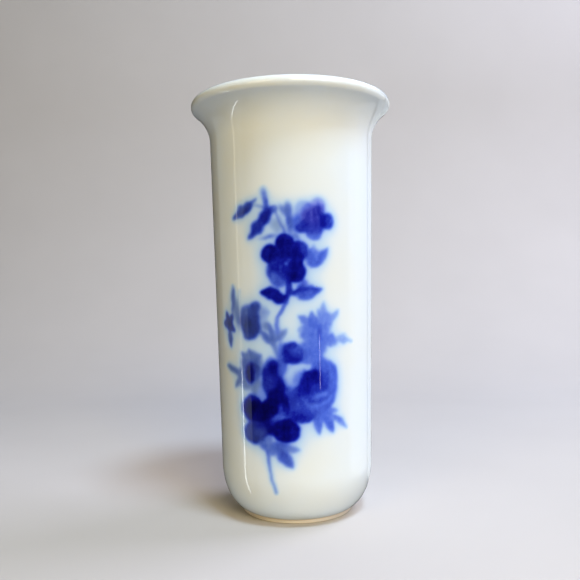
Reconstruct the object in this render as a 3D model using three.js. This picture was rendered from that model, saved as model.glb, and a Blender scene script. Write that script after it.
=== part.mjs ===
// A porcelain bud vase: a straight, slightly widening cylinder on a rounded heel and a narrow foot
// ring, with a short trumpet flare and a thick rolled lip. One wall of cast porcelain carries two
// glass layers: the glaze over the outside, the lip and the inside, and the glaze in the recess under
// the base. The foot ring between them is wiped bare, so that the vase doesn't stick to the kiln shelf.
// Millimetres, +Z up, origin at the centre of the foot on the table.

import * as THREE from 'three';

// Heights
const HEIGHT = 127;               // table to the top of the lip
const HEEL_HEIGHT = 14.9;         // where the rounded heel meets the straight wall
const GLAZE_LINE = 1.2;           // height at which the glaze stops on the foot ring

// Diameters over the glaze
const SHOULDER_DIAMETER = 50.6;   // straight wall, where the flare begins
const HEEL_DIAMETER = 46.6;       // straight wall, where the heel begins
const FOOT_DIAMETER = 34;         // outside of the bare foot ring

// Flare and lip
const FLARE_OVERHANG = 5.7;       // how far the lip stands out past the shoulder
const FLARE_RADIUS = 11.8;        // hollow curve under the flare
const LIP_RADIUS = 2;             // rolled lip, half of its thickness

// Wall, floor and the curve between them inside
const WALL = 3.2;
const FLOOR = 4;
const WELL_CURVE_WIDTH = 6;
const WELL_CURVE_HEIGHT = 9.5;

// Heel and foot
const HEEL_SWEEP = THREE.MathUtils.degToRad(76);   // share of a quarter ellipse that the heel takes
const FOOT_BEARING_WIDTH = 2.2;   // flat that touches the table
const FOOT_BEVEL = 0.4;           // wiped outer edge of the foot ring
const RECESS_DEPTH = 1.4;
const RECESS_DRAFT = 0.6;         // lean of the foot ring's inner side

// Glaze
const GLAZE = 0.25;
const BASE_GLAZE_MARGIN = 0.5;    // bare line between the base glaze and the foot ring

// Fineness of the turned surfaces
const TURN_STEPS = 60;
const HEEL_STEPS = 7;
const FLARE_STEPS = 6;
const LIP_STEPS = 3;              // in each of the lip's three stretches
const INNER_FLARE_STEPS = 5;
const WELL_STEPS = 5;

// Worked out from the sizes above
const shoulderRadius = SHOULDER_DIAMETER / 2;
const heelRadius = HEEL_DIAMETER / 2;
const footRadius = FOOT_DIAMETER / 2;
const rimRadius = shoulderRadius + FLARE_OVERHANG;
const floorTop = RECESS_DEPTH + FLOOR;
const wellTop = floorTop + WELL_CURVE_HEIGHT;
const bearingInnerRadius = footRadius - FOOT_BEVEL - FOOT_BEARING_WIDTH;
const recessRadius = bearingInnerRadius - RECESS_DRAFT;

// The lip is a roll whose centre lies one lip radius in from the rim and down from the top. Both
// sides of the flare are arcs about points outside the vase, and each arc meets the roll smoothly.
const lipCentre = new THREE.Vector2(rimRadius - LIP_RADIUS, HEIGHT - LIP_RADIUS);
const underFlareCentre = tangentCentre(shoulderRadius + FLARE_RADIUS, FLARE_RADIUS + LIP_RADIUS);
const innerFlareRadius = FLARE_RADIUS + WALL;
const insideFlareCentre = tangentCentre(
  shoulderRadius - WALL + innerFlareRadius,
  innerFlareRadius - LIP_RADIUS,
);

// The heel is part of an ellipse that is upright where it meets the wall and reaches the foot ring
// at the glaze line.
const heelWidth = (heelRadius - footRadius) / (1 - Math.cos(HEEL_SWEEP));
const heelDepth = (HEEL_HEIGHT - GLAZE_LINE) / Math.sin(HEEL_SWEEP);

/** Centre of a flare arc at radius r, a given distance below and beside the lip's centre. */
function tangentCentre(r, distance) {
  const sideways = r - lipCentre.x;
  return new THREE.Vector2(r, lipCentre.y - Math.sqrt(distance ** 2 - sideways ** 2));
}

/** Points of an elliptical arc in the (radius, height) plane, both ends included. */
function arc(centre, width, height, from, to, steps) {
  return Array.from({ length: steps + 1 }, (_, i) => {
    const angle = THREE.MathUtils.lerp(from, to, i / steps);
    return new THREE.Vector2(centre.x + width * Math.cos(angle), centre.y + height * Math.sin(angle));
  });
}

/** Radius of the straight, slightly widening wall at a height, over the glaze. */
function wallRadius(z) {
  const share = (z - HEEL_HEIGHT) / (underFlareCentre.y - HEEL_HEIGHT);
  return THREE.MathUtils.lerp(heelRadius, shoulderRadius, share);
}

/**
 * The glazed surface's outline at a depth under it: from the glaze line on the foot ring, up the
 * outside, over the lip and down the inside to the middle of the floor.
 */
function glazedOutline(depth) {
  const heelCentre = new THREE.Vector2(heelRadius - heelWidth, HEEL_HEIGHT);
  const heelStart = Math.acos((footRadius - heelCentre.x) / (heelWidth - depth));
  const wellCentre = new THREE.Vector2(wallRadius(wellTop) - WALL - WELL_CURVE_WIDTH, wellTop);

  const underFlareEnd = underFlareCentre.clone().sub(lipCentre).angle() - 2 * Math.PI;
  const insideFlareEnd = lipCentre.clone().sub(insideFlareCentre).angle();
  const flareArc = FLARE_RADIUS + depth;
  const insideArc = innerFlareRadius - depth;
  const lipArc = LIP_RADIUS - depth;
  const lipStops = [underFlareEnd, 0, Math.PI / 2, insideFlareEnd];
  const lip = lipStops.slice(1).flatMap((stop, i) => (
    arc(lipCentre, lipArc, lipArc, lipStops[i], stop, LIP_STEPS).slice(1)
  ));

  return [
    ...arc(heelCentre, heelWidth - depth, heelDepth - depth, -heelStart, 0, HEEL_STEPS),
    ...arc(underFlareCentre, flareArc, flareArc, Math.PI, Math.PI + underFlareEnd, FLARE_STEPS),
    ...lip,
    ...arc(insideFlareCentre, insideArc, insideArc, insideFlareEnd, Math.PI, INNER_FLARE_STEPS).slice(1),
    ...arc(wellCentre, WELL_CURVE_WIDTH + depth, WELL_CURVE_HEIGHT + depth, 0, -Math.PI / 2, WELL_STEPS),
    new THREE.Vector2(0, floorTop - depth),
  ];
}

/** A piece turned about +Z from an outline that starts and ends on the axis, or closes on itself. */
function turned(name, outline, material) {
  const geometry = new THREE.LatheGeometry(outline, TURN_STEPS);
  geometry.rotateX(Math.PI / 2);
  const mesh = new THREE.Mesh(geometry, material);
  mesh.name = name;
  return mesh;
}

const porcelain = new THREE.MeshStandardMaterial({ color: 0xe6ded0, roughness: 0.85, metalness: 0 });
const glaze = new THREE.MeshStandardMaterial({ color: 0xf1f4f4, roughness: 0.1, metalness: 0 });
const poolGlaze = new THREE.MeshStandardMaterial({ color: 0xe8eeee, roughness: 0.2, metalness: 0 });

/** The cast wall, floor and foot ring, which carry everything. */
function porcelainBody() {
  return turned('porcelain_body', [
    new THREE.Vector2(0, RECESS_DEPTH),
    new THREE.Vector2(recessRadius, RECESS_DEPTH),
    new THREE.Vector2(bearingInnerRadius, 0),
    new THREE.Vector2(footRadius - FOOT_BEVEL, 0),
    new THREE.Vector2(footRadius, FOOT_BEVEL),
    ...glazedOutline(GLAZE),
  ], porcelain);
}

/** The glass layer from the foot ring over the lip to the floor inside, lying on the body. */
function glazeCoat() {
  return turned('glaze_coat', [
    ...glazedOutline(GLAZE).reverse(),
    ...glazedOutline(0),
  ], glaze);
}

/** The glass layer in the recess under the base, inside the bare foot ring. */
function baseGlaze() {
  const radius = recessRadius - BASE_GLAZE_MARGIN;
  return turned('base_glaze', [
    new THREE.Vector2(0, RECESS_DEPTH - GLAZE),
    new THREE.Vector2(radius, RECESS_DEPTH - GLAZE),
    new THREE.Vector2(radius, RECESS_DEPTH),
    new THREE.Vector2(0, RECESS_DEPTH),
  ], poolGlaze);
}

const group = new THREE.Group();
group.add(porcelainBody(), glazeCoat(), baseGlaze());

export default group;
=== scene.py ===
"""A porcelain bud vase: its fired body, its glaze over a cobalt flower print, and its base glaze."""

import logging
import math
from collections.abc import Callable
from dataclasses import dataclass, field, replace
from enum import Enum
from typing import Any

import bmesh
import bpy
import numpy as np
from mathutils import Matrix, Vector


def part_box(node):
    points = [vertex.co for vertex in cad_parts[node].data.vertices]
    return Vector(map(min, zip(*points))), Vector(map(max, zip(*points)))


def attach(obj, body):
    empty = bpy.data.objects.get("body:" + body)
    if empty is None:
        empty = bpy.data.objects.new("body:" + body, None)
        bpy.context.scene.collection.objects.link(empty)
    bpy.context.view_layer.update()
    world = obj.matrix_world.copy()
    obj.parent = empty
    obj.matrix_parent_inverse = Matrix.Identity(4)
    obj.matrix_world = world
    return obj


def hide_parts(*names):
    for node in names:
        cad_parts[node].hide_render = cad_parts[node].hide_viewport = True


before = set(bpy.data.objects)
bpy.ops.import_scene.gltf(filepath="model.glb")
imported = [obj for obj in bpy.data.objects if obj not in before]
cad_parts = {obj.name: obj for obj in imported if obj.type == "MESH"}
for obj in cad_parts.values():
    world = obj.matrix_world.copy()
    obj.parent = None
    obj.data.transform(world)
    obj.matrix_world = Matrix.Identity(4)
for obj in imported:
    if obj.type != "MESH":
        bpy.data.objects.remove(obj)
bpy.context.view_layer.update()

log = logging.getLogger("bud_vase")

MM = 0.001
FULL_TURN = 2 * math.pi

# Direction from the vase's axis to its printed front, as an angle about +Z
FRONT = -math.pi / 2

Point = tuple[float, float]
Colour = tuple[float, float, float]


def linear(code: str) -> Colour:
    """Turn a display colour into the linear values that nodes and lights use.

    The numbers are those of the sRGB standard.

    Args:
        code: Six hexadecimal digits, as in "F2F4F2".

    Returns:
        Linear red, green and blue.
    """
    shares = (int(code[i:i + 2], 16) / 255 for i in (0, 2, 4))
    return tuple(s / 12.92 if s <= 0.04045 else ((s + 0.055) / 1.055) ** 2.4 for s in shares)


class Slot(Enum):
    """The record's material slots."""

    BARE_PORCELAIN = "bare_porcelain"
    PRINTED_GLAZE = "printed_glaze"
    BASE_GLAZE = "base_glaze"


class Attribute(Enum):
    """What the glaze's mesh carries of the print, one number at each vertex."""

    COBALT = "cobalt"
    TINT = "tint"


def math_method(operation: str, other_first: bool = False) -> Callable[["Value", Any], "Value"]:
    """Make a method of Value that adds a Math node.

    Args:
        operation: The node's operation.
        other_first: Whether the other value is the node's first.

    Returns:
        The method.
    """

    def method(value: "Value", other: "Value | float") -> "Value":
        """Add the node."""
        return value.bench.math(operation, *((other, value) if other_first else (value, other)))

    return method


@dataclass(frozen=True)
class Value:
    """A node's socket that Python's operators calculate with."""

    bench: "Bench"
    socket: bpy.types.NodeSocket

    __add__ = __radd__ = math_method("ADD")
    __mul__ = __rmul__ = math_method("MULTIPLY")
    __sub__ = math_method("SUBTRACT")
    __rsub__ = math_method("SUBTRACT", other_first=True)
    __truediv__ = math_method("DIVIDE")
    __rtruediv__ = math_method("DIVIDE", other_first=True)
    least = math_method("MINIMUM")
    most = math_method("MAXIMUM")

    def cos(self) -> "Value":
        """Take the cosine."""
        return self.bench.math("COSINE", self)

    def sin(self) -> "Value":
        """Take the sine."""
        return self.bench.math("SINE", self)

    def between(self, low: float, high: float) -> "Value":
        """Rise smoothly from 0 at low to 1 at high, or fall where low is above high."""
        settings = {"interpolation_type": "SMOOTHSTEP"}
        return self.bench.add("ShaderNodeMapRange", settings, {0: self, 1: low, 2: high})["Result"]


@dataclass(frozen=True)
class Outputs:
    """The output sockets of a node, by name, identifier or number."""

    bench: "Bench"
    node: bpy.types.Node

    def __getitem__(self, key: str | int) -> Value:
        """Give one output as a value."""
        return Value(self.bench, find_socket(self.node.outputs, key))


def find_socket(sockets: Any, key: str | int) -> bpy.types.NodeSocket:
    """Find a node's socket.

    Args:
        sockets: The node's inputs or outputs.
        key: The socket's number, identifier or name. Identifiers come first, because a Mix node has
            several sockets of one name.

    Returns:
        The socket.
    """
    if isinstance(key, int):
        return sockets[key]
    return next((s for s in sockets if s.identifier == key), None) or sockets[key]


@dataclass(frozen=True)
class Bench:
    """Adds and links the nodes of one tree."""

    tree: bpy.types.NodeTree

    def add(
        self,
        kind: str,
        settings: dict[str, Any] | None = None,
        inputs: dict[str | int, Any] | None = None,
    ) -> Outputs:
        """Add one node.

        Args:
            kind: The node's type.
            settings: The node's properties, with a colour ramp's stops under "stops".
            inputs: Numbers, colours or Values for its sockets.

        Returns:
            The node's outputs.
        """
        node = self.tree.nodes.new(kind)
        for name, setting in (settings or {}).items():
            if name == "stops":
                self.set_stops(node.color_ramp, setting)
            else:
                setattr(node, name, setting)
        for key, value in (inputs or {}).items():
            self.feed(find_socket(node.inputs, key), value)
        return Outputs(self, node)

    def feed(self, socket: bpy.types.NodeSocket, value: Any) -> None:
        """Link a Value to a socket, or set a constant on it.

        Args:
            socket: The input socket.
            value: What it takes.
        """
        if isinstance(value, Value):
            self.tree.links.new(value.socket, socket)
        elif isinstance(value, tuple) and socket.type == "RGBA":
            socket.default_value = (*value, 1.0)
        else:
            socket.default_value = value

    def set_stops(self, ramp: bpy.types.ColorRamp, stops: list[tuple[float, Colour]]) -> None:
        """Give a ramp its stops.

        Args:
            ramp: A new ramp, which has two stops.
            stops: Places from 0 to 1, rising, each with its linear colour.
        """
        while len(ramp.elements) < len(stops):
            ramp.elements.new(1.0)
        for element, (place, colour) in zip(ramp.elements, stops):
            element.position = place
            element.color = (*colour, 1.0)

    def math(self, operation: str, *values: "Value | float") -> Value:
        """Calculate with a Math node.

        Args:
            operation: The node's operation.
            values: Its inputs, in order.

        Returns:
            The result.
        """
        return self.add("ShaderNodeMath", {"operation": operation}, dict(enumerate(values)))["Value"]

    def mix(self, share: "Value | float", a: Any, b: Any, blend: str = "MIX") -> Value:
        """Mix two colours.

        Args:
            share: How much of b shows.
            a: The colour under it.
            b: The colour over it.
            blend: How b is laid over a.

        Returns:
            The mixed colour.
        """
        settings = {"data_type": "RGBA", "blend_type": blend}
        inputs = {"Factor_Float": share, "A_Color": a, "B_Color": b}
        return self.add("ShaderNodeMix", settings, inputs)["Result_Color"]

    def noise(self, place: Value, grain: float, detail: float = 2.0, roughness: float = 0.5) -> Value:
        """Make smooth noise from 0 to 1.

        Args:
            place: The coordinates, in metres.
            grain: The width of its blotches in metres.
            detail: How many finer layers it has.
            roughness: How strong they are.

        Returns:
            The noise.
        """
        inputs = {"Vector": place, "Scale": 1 / grain, "Detail": detail, "Roughness": roughness}
        return self.add("ShaderNodeTexNoise", None, inputs)["Fac"]

    def bump(self, height: Value, strength: float, distance: float) -> Value:
        """Turn a height into a small relief.

        Args:
            height: The height, about 0 to 1.
            strength: How much of the relief shows.
            distance: What a height of 1 is in metres.

        Returns:
            The relief's normal.
        """
        inputs = {"Strength": strength, "Distance": distance, "Height": height}
        return self.add("ShaderNodeBump", None, inputs)["Normal"]

    def spots(self, place: Value, spacing: float, rim: Point, chance: Point) -> Value:
        """Scatter small round spots.

        Args:
            place: The coordinates, in metres.
            spacing: The width of the cells that may hold a spot, in metres.
            rim: Distances from a spot's middle, as shares of a cell, where it starts and where it is full.
            chance: A cell's random number from which its spot starts to show, and from which it is full.

        Returns:
            A mask of the spots.
        """
        cells = self.add("ShaderNodeTexVoronoi", None, {"Vector": place, "Scale": 1 / spacing})
        drawn = self.add("ShaderNodeSeparateColor", None, {"Color": cells["Color"]})["Red"]
        return cells["Distance"].between(*rim) * drawn.between(*chance)

    def object_place(self) -> Value:
        """Give the point's place on the vase, in metres."""
        return self.add("ShaderNodeTexCoord")["Object"]


# Geometry Nodes groups that turn one stretch of an outline about the vase's axis


@dataclass(frozen=True)
class Turn:
    """How finely a piece is turned: its front gets columns of its own, because the print needs them."""

    front_start: float = FRONT - math.pi / 2
    front_sweep: float = math.pi
    front_columns: int = 64
    back_columns: int = 64

    def inputs(self) -> dict[str, tuple[str, float]]:
        """Name the modifier's inputs, each with its socket type and value."""
        kinds = {float: "NodeSocketFloat", int: "NodeSocketInt"}
        return {n.replace("_", " ").title(): (kinds[type(v)], v) for n, v in vars(self).items()}


@dataclass(frozen=True)
class ArcStretch:
    """A stretch of an outline that is part of an ellipse, in metres and radians."""

    name: str
    centre: Point
    size: Point
    sweep: Point
    rows: int

    def sizes(self) -> dict[str, float]:
        """Name the group's sizes."""
        names = ("Centre Radius", "Centre Height", "Width", "Height", "From", "To")
        return dict(zip(names, (*self.centre, *self.size, *self.sweep)))

    @classmethod
    def round(cls, name: str, centre: Point | Vector, radius: float, sweep: Point, rows: int) -> "ArcStretch":
        """Draw a stretch that is part of a circle.

        Args:
            name: The stretch's name.
            centre: The circle's centre.
            radius: Its radius.
            sweep: The angles where the stretch starts and ends.
            rows: How many rows of faces it gets.

        Returns:
            The stretch.
        """
        return cls(name, tuple(centre), (radius, radius), sweep, rows)

    @staticmethod
    def path(size: dict[str, Value], share: Value) -> tuple[Value, Value]:
        """Follow the stretch.

        Args:
            size: The group's sizes by their names.
            share: How far along the stretch a point is, from 0 to 1.

        Returns:
            The point's radius and height.
        """
        angle = size["From"] + (size["To"] - size["From"]) * share
        radius = size["Centre Radius"] + size["Width"] * angle.cos()
        return radius, size["Centre Height"] + size["Height"] * angle.sin()


@dataclass(frozen=True)
class LineStretch:
    """A straight stretch of an outline, in metres."""

    name: str
    start: Point
    end: Point
    rows: int

    def sizes(self) -> dict[str, float]:
        """Name the group's sizes."""
        names = ("Start Radius", "Start Height", "End Radius", "End Height")
        return dict(zip(names, (*self.start, *self.end)))

    @staticmethod
    def path(size: dict[str, Value], share: Value) -> tuple[Value, Value]:
        """Give the radius and height of a point at a share of the stretch."""
        radius = size["Start Radius"] + (size["End Radius"] - size["Start Radius"]) * share
        return radius, size["Start Height"] + (size["End Height"] - size["Start Height"]) * share


Stretch = ArcStretch | LineStretch


@dataclass
class TurnedForm:
    """A piece turned about the vase's axis, as a Geometry Nodes tree of its closed outline's stretches."""

    name: str
    stretches: list[Stretch]
    turn: Turn
    groups: dict[type, bpy.types.NodeTree] = field(default_factory=dict)

    JOIN_DISTANCE = 0.002 * MM
    SHARP_ANGLE = math.radians(35)

    def new_tree(self, name: str, sockets: dict[str, str]) -> tuple[Bench, Outputs]:
        """Start a geometry tree.

        Args:
            name: The tree's name.
            sockets: Its inputs' names and types.

        Returns:
            A bench on the tree, and the tree's inputs.
        """
        tree = bpy.data.node_groups.new(name, "GeometryNodeTree")
        for socket, kind in sockets.items():
            tree.interface.new_socket(name=socket, in_out="INPUT", socket_type=kind)
        tree.interface.new_socket(name="Geometry", in_out="OUTPUT", socket_type="NodeSocketGeometry")
        bench = Bench(tree)
        return bench, bench.add("NodeGroupInput")

    def stretch_group(self, stretch: Stretch) -> bpy.types.NodeTree:
        """Build the group that turns one kind of stretch, once.

        Args:
            stretch: A stretch of that kind.

        Returns:
            The group, which bends a flat grid round the axis.
        """
        kind = type(stretch)
        if kind in self.groups:
            return self.groups[kind]
        names = list(stretch.sizes())
        sockets = {name: "NodeSocketFloat" for name in names}
        sockets |= {name: socket for name, (socket, _) in self.turn.inputs().items()}
        sockets["Rows"] = "NodeSocketInt"
        bench, given = self.new_tree(f"turned_{kind.__name__}", sockets)

        # The grid is 1 by 1 about its middle, so a place on it and a half is a share
        columns = given["Front Columns"] + given["Back Columns"]
        counts = {"Size X": 1.0, "Size Y": 1.0, "Vertices X": columns + 1, "Vertices Y": given["Rows"] + 1}
        grid = bench.add("GeometryNodeMeshGrid", None, counts)["Mesh"]
        place = bench.add("ShaderNodeSeparateXYZ", None, {0: bench.add("GeometryNodeInputPosition")[0]})
        column = (place["X"] + 0.5) * columns
        front = column.least(given["Front Columns"]) / given["Front Columns"]
        back = (column - given["Front Columns"]).most(0.0) / given["Back Columns"]
        sweep = given["Front Sweep"]
        angle = given["Front Start"] + front * sweep + back * (FULL_TURN - sweep)

        radius, height = kind.path({name: given[name] for name in names}, place["Y"] + 0.5)
        turned = {"X": radius * angle.cos(), "Y": radius * angle.sin(), "Z": height}
        point = bench.add("ShaderNodeCombineXYZ", None, turned)["Vector"]
        bent = bench.add("GeometryNodeSetPosition", None, {"Geometry": grid, "Position": point})[0]
        bench.add("NodeGroupOutput", None, {"Geometry": bent})
        self.groups[kind] = bench.tree
        return bench.tree

    def tree(self) -> bpy.types.NodeTree:
        """Build the piece's tree: its stretches joined, made real and given a material.

        Returns:
            The tree, whose inputs set the turn and the material.
        """
        sockets = {name: socket for name, (socket, _) in self.turn.inputs().items()}
        sockets["Material"] = "NodeSocketMaterial"
        bench, given = self.new_tree(self.name, sockets)
        join = bench.tree.nodes.new("GeometryNodeJoinGeometry")
        for stretch in self.stretches:
            inputs = {name: given[name] for name in self.turn.inputs()}
            inputs |= stretch.sizes() | {"Rows": stretch.rows}
            settings = {"node_tree": self.stretch_group(stretch), "label": stretch.name}
            turned = bench.add("GeometryNodeGroup", settings, inputs)
            bench.tree.links.new(turned["Geometry"].socket, join.inputs[0])
        merged = bench.add(
            "GeometryNodeMergeByDistance",
            None,
            {"Geometry": Outputs(bench, join)[0], "Distance": self.JOIN_DISTANCE},
        )[0]
        real = bench.add("GeometryNodeRealizeInstances", None, {"Geometry": merged})[0]
        finish = {"Geometry": real, "Material": given["Material"]}
        dressed = bench.add("GeometryNodeSetMaterial", None, finish)[0]
        bench.add("NodeGroupOutput", None, {"Geometry": dressed})
        return bench.tree

    def make(self, material: bpy.types.Material) -> bpy.types.Object:
        """Run the tree and keep its result as a plain mesh.

        Args:
            material: The piece's material.

        Returns:
            The piece, at the origin, with its faces pointing outwards.
        """
        piece = bpy.data.objects.new(self.name, bpy.data.meshes.new(self.name))
        bpy.context.scene.collection.objects.link(piece)
        modifier = piece.modifiers.new("turned form", "NODES")
        modifier.node_group = self.tree()
        values = {name: value for name, (_, value) in self.turn.inputs().items()} | {"Material": material}
        for item in modifier.node_group.interface.items_tree:
            if item.in_out == "INPUT":
                modifier[item.identifier] = values[item.name]
        bpy.context.view_layer.update()
        evaluated = piece.evaluated_get(bpy.context.evaluated_depsgraph_get())
        mesh = bpy.data.meshes.new_from_object(evaluated)
        piece.modifiers.remove(modifier)
        piece.data = mesh
        mesh.name = self.name
        self.face_outwards(mesh)
        return piece

    def face_outwards(self, mesh: bpy.types.Mesh) -> None:
        """Point a closed mesh's faces outwards and shade it smooth but for its sharp edges.

        Args:
            mesh: The mesh, with its doubles merged.
        """
        body = bmesh.new()
        body.from_mesh(mesh)
        bmesh.ops.recalc_face_normals(body, faces=body.faces)
        if body.calc_volume(signed=True) < 0:
            bmesh.ops.reverse_faces(body, faces=body.faces)
        open_edges = sum(not edge.is_manifold for edge in body.edges)
        body.to_mesh(mesh)
        body.free()
        mesh.shade_smooth()
        mesh.set_sharp_from_angle(angle=self.SHARP_ANGLE)
        if open_edges:
            log.warning("%s has %d open edges", self.name, open_edges)


@dataclass(frozen=True)
class GlazeRows:
    """How many rows of faces each stretch of the glazed outline gets."""

    heel: int
    printed: int
    plain: int
    flare: int
    lip: int
    well: int
    floor: int


@dataclass(frozen=True)
class FootRing:
    """The bare ring that the vase stands on, in metres, and how many rows of faces its stretches get."""

    bevel: float = 0.4 * MM
    bearing: float = 2.2 * MM
    draft: float = 0.6 * MM
    margin: float = 0.5 * MM
    inner_round: float = 0.3 * MM
    recess_round: float = 0.45 * MM
    recess_rows: int = 8
    bearing_rows: int = 6
    bevel_rows: int = 6
    side_rows: int = 3
    corner_rows: int = 2

    # From the base glaze's edge to the ring's outer side
    width = bevel + bearing + draft + margin


@dataclass(frozen=True)
class Outline:
    """The vase's outline, in metres. Its height, rim and foot are the frame's own."""

    height: float
    rim_radius: float
    foot_radius: float
    heel_height: float = 14.9 * MM
    glaze_line: float = 1.2 * MM
    shoulder_radius: float = 25.3 * MM
    heel_radius: float = 23.3 * MM
    flare_radius: float = 11.8 * MM
    lip_radius: float = 2 * MM
    wall: float = 3.2 * MM
    floor: float = 4 * MM
    well_width: float = 6 * MM
    well_height: float = 9.5 * MM
    heel_sweep: float = math.radians(76)
    recess_depth: float = 1.4 * MM
    glaze: float = 0.25 * MM
    print_top: float = 98.5 * MM

    @classmethod
    def from_frame(cls) -> "Outline":
        """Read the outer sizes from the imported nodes.

        Returns:
            The outline.
        """
        _, coat_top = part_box("glaze_coat")
        _, base_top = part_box("base_glaze")
        return cls(height=coat_top.z, rim_radius=coat_top.x, foot_radius=base_top.x + FootRing.width)

    @property
    def lip_centre(self) -> Vector:
        """Centre of the rolled lip's round section."""
        return Vector((self.rim_radius - self.lip_radius, self.height - self.lip_radius))

    @property
    def heel_size(self) -> Vector:
        """Half axes of the ellipse that the heel is part of."""
        width = (self.heel_radius - self.foot_radius) / (1 - math.cos(self.heel_sweep))
        return Vector((width, (self.heel_height - self.glaze_line) / math.sin(self.heel_sweep)))

    @property
    def floor_top(self) -> float:
        """Height of the floor inside."""
        return self.recess_depth + self.floor

    def tangent_centre(self, radius: float, distance: float) -> Vector:
        """Centre of an arc that meets the lip smoothly.

        Args:
            radius: How far the centre is from the axis.
            distance: How far it is from the lip's centre.

        Returns:
            The centre's radius and height.
        """
        sideways = radius - self.lip_centre.x
        return Vector((radius, self.lip_centre.y - math.sqrt(distance**2 - sideways**2)))

    @property
    def under_flare_centre(self) -> Vector:
        """Centre of the hollow curve under the flare."""
        reach = self.flare_radius + self.lip_radius
        return self.tangent_centre(self.shoulder_radius + self.flare_radius, reach)

    @property
    def inside_flare_centre(self) -> Vector:
        """Centre of the flare's curve inside the mouth."""
        radius = self.flare_radius + self.wall
        return self.tangent_centre(self.shoulder_radius - self.wall + radius, radius - self.lip_radius)

    def wall_radius(self, height: float) -> float:
        """Radius of the straight wall over the glaze, at a height."""
        share = (height - self.heel_height) / (self.under_flare_centre.y - self.heel_height)
        return self.heel_radius + (self.shoulder_radius - self.heel_radius) * share

    def outer_radius(self, heights: np.ndarray) -> np.ndarray:
        """Radius over the glaze at many heights, from the heel to the flare.

        Args:
            heights: Heights in metres.

        Returns:
            Radii in metres.
        """
        width, depth = self.heel_size
        drop = np.clip((self.heel_height - heights) / depth, 0, 1)
        heel = self.heel_radius - width * (1 - np.sqrt(1 - drop**2))
        return np.where(heights < self.heel_height, heel, self.wall_radius(heights))

    def glazed(self, depth: float, rows: GlazeRows) -> list[Stretch]:
        """Draw the glazed surface from the foot ring over the lip to the middle of the floor inside.

        Args:
            depth: How far under the surface the outline lies.
            rows: How many rows each stretch gets.

        Returns:
            The stretches, in order.
        """
        heel_start = (self.heel_radius - depth, self.heel_height)
        heel_centre = (self.heel_radius - self.heel_size.x, self.heel_height)
        heel_size = (self.heel_size.x - depth, self.heel_size.y - depth)
        heel_sweep = math.acos((self.foot_radius - heel_centre[0]) / heel_size[0])
        print_edge = (self.wall_radius(self.print_top) - depth, self.print_top)

        lip, under, inside = self.lip_centre, self.under_flare_centre, self.inside_flare_centre
        lip_radius = self.lip_radius - depth
        under_radius = self.flare_radius + depth
        under_end = math.atan2(under.y - lip.y, under.x - lip.x)
        inside_radius = self.flare_radius + self.wall - depth
        inside_end = math.atan2(lip.y - inside.y, lip.x - inside.x)
        inner_wall = (self.shoulder_radius - self.wall + depth, inside.y)

        well_top = self.floor_top + self.well_height
        well_centre = (self.wall_radius(well_top) - self.wall - self.well_width, well_top)
        well_size = (self.well_width + depth, self.well_height + depth)
        well_start = (well_centre[0] + well_size[0], well_top)
        floor = self.floor_top - depth
        return [
            ArcStretch("heel", heel_centre, heel_size, (-heel_sweep, 0), rows.heel),
            LineStretch("printed wall", heel_start, print_edge, rows.printed),
            LineStretch("upper wall", print_edge, (self.shoulder_radius - depth, under.y), rows.plain),
            ArcStretch.round("under flare", under, under_radius, (math.pi, math.pi + under_end), rows.flare),
            ArcStretch.round("lip below", lip, lip_radius, (under_end, 0), rows.lip),
            ArcStretch.round("lip above", lip, lip_radius, (0, math.pi / 2), rows.lip),
            ArcStretch.round("lip inside", lip, lip_radius, (math.pi / 2, inside_end), rows.lip),
            ArcStretch.round("inside flare", inside, inside_radius, (inside_end, math.pi), rows.flare),
            LineStretch("inside wall", inner_wall, well_start, rows.plain),
            ArcStretch("well", well_centre, well_size, (0, -math.pi / 2), rows.well),
            LineStretch("floor inside", (well_centre[0], floor), (0.0, floor), rows.floor),
        ]

    def glaze_edge(self, depth: float) -> Point:
        """Find the glaze's lower edge, on the foot ring.

        Args:
            depth: How far under the glaze's surface the point lies.

        Returns:
            The point's radius and height.
        """
        centre = self.heel_radius - self.heel_size.x
        share = (self.foot_radius - centre) / (self.heel_size.x - depth)
        return self.foot_radius, self.heel_height - (self.heel_size.y - depth) * math.sqrt(1 - share**2)


# The print, laid as touches of cobalt on the unrolled wall, in millimetres


def ease(share: np.ndarray) -> np.ndarray:
    """Rise smoothly from 0 to 1 while the share does."""
    held = np.clip(share, 0.0, 1.0)
    return held * held * (3 - 2 * held)


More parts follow.
